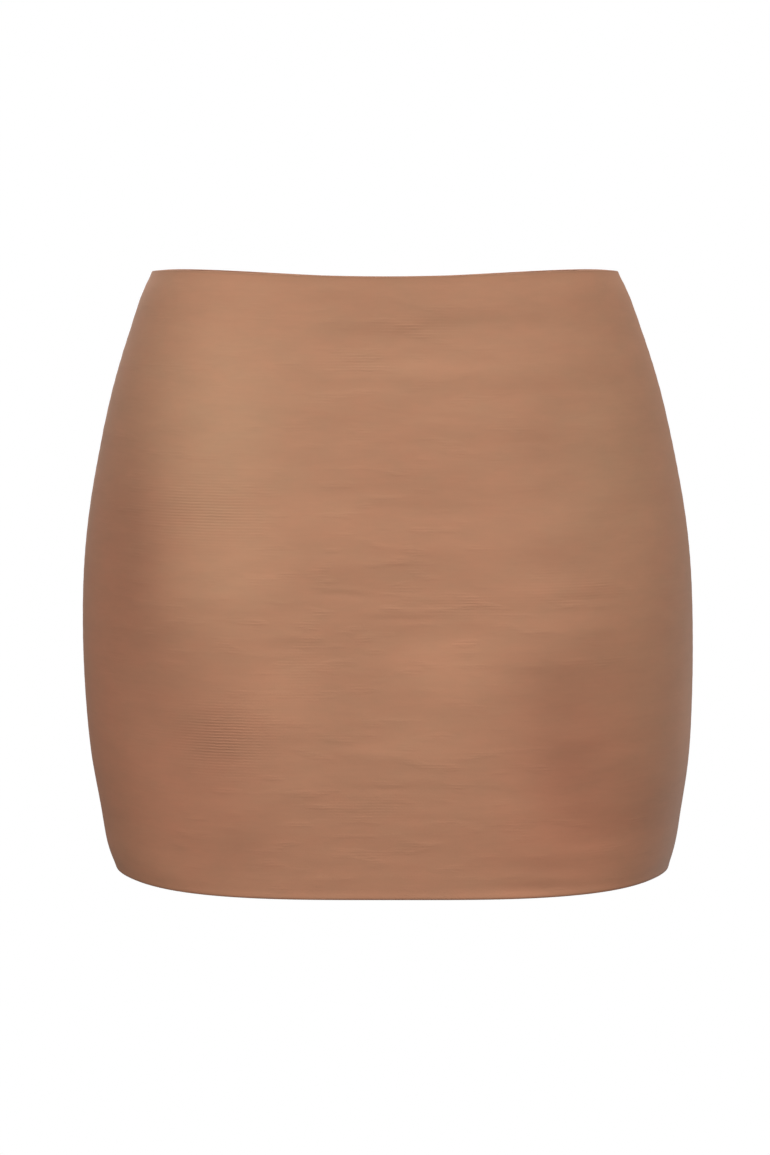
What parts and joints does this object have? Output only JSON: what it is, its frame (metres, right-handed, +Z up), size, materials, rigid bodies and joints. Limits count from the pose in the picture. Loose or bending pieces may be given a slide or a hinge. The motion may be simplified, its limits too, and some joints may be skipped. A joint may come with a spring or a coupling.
{
  "type": "mesh mini skirt",
  "caption": "Fitted pull-on mini skirt of doubled stretch mesh, a tapered open tube filled out as worn, with clean turned waist and hem.",
  "frame": {"origin": "middle of the waist opening, level with the highest points of the waist edge, where a wearer's waist holds the skirt", "axes": "+Z up, out of the waist opening; -Y out of the front; +X to the right of someone who looks at the front"},
  "size_m": [0.347, 0.2269, 0.3413],
  "materials": {
    "front_mesh": "matte tan stretch mesh, doubled",
    "back_mesh": "matte tan stretch mesh, doubled"
  },
  "bodies": {
    "root": {"front": "front_mesh", "back": "back_mesh"}
  },
  "joints": []
}
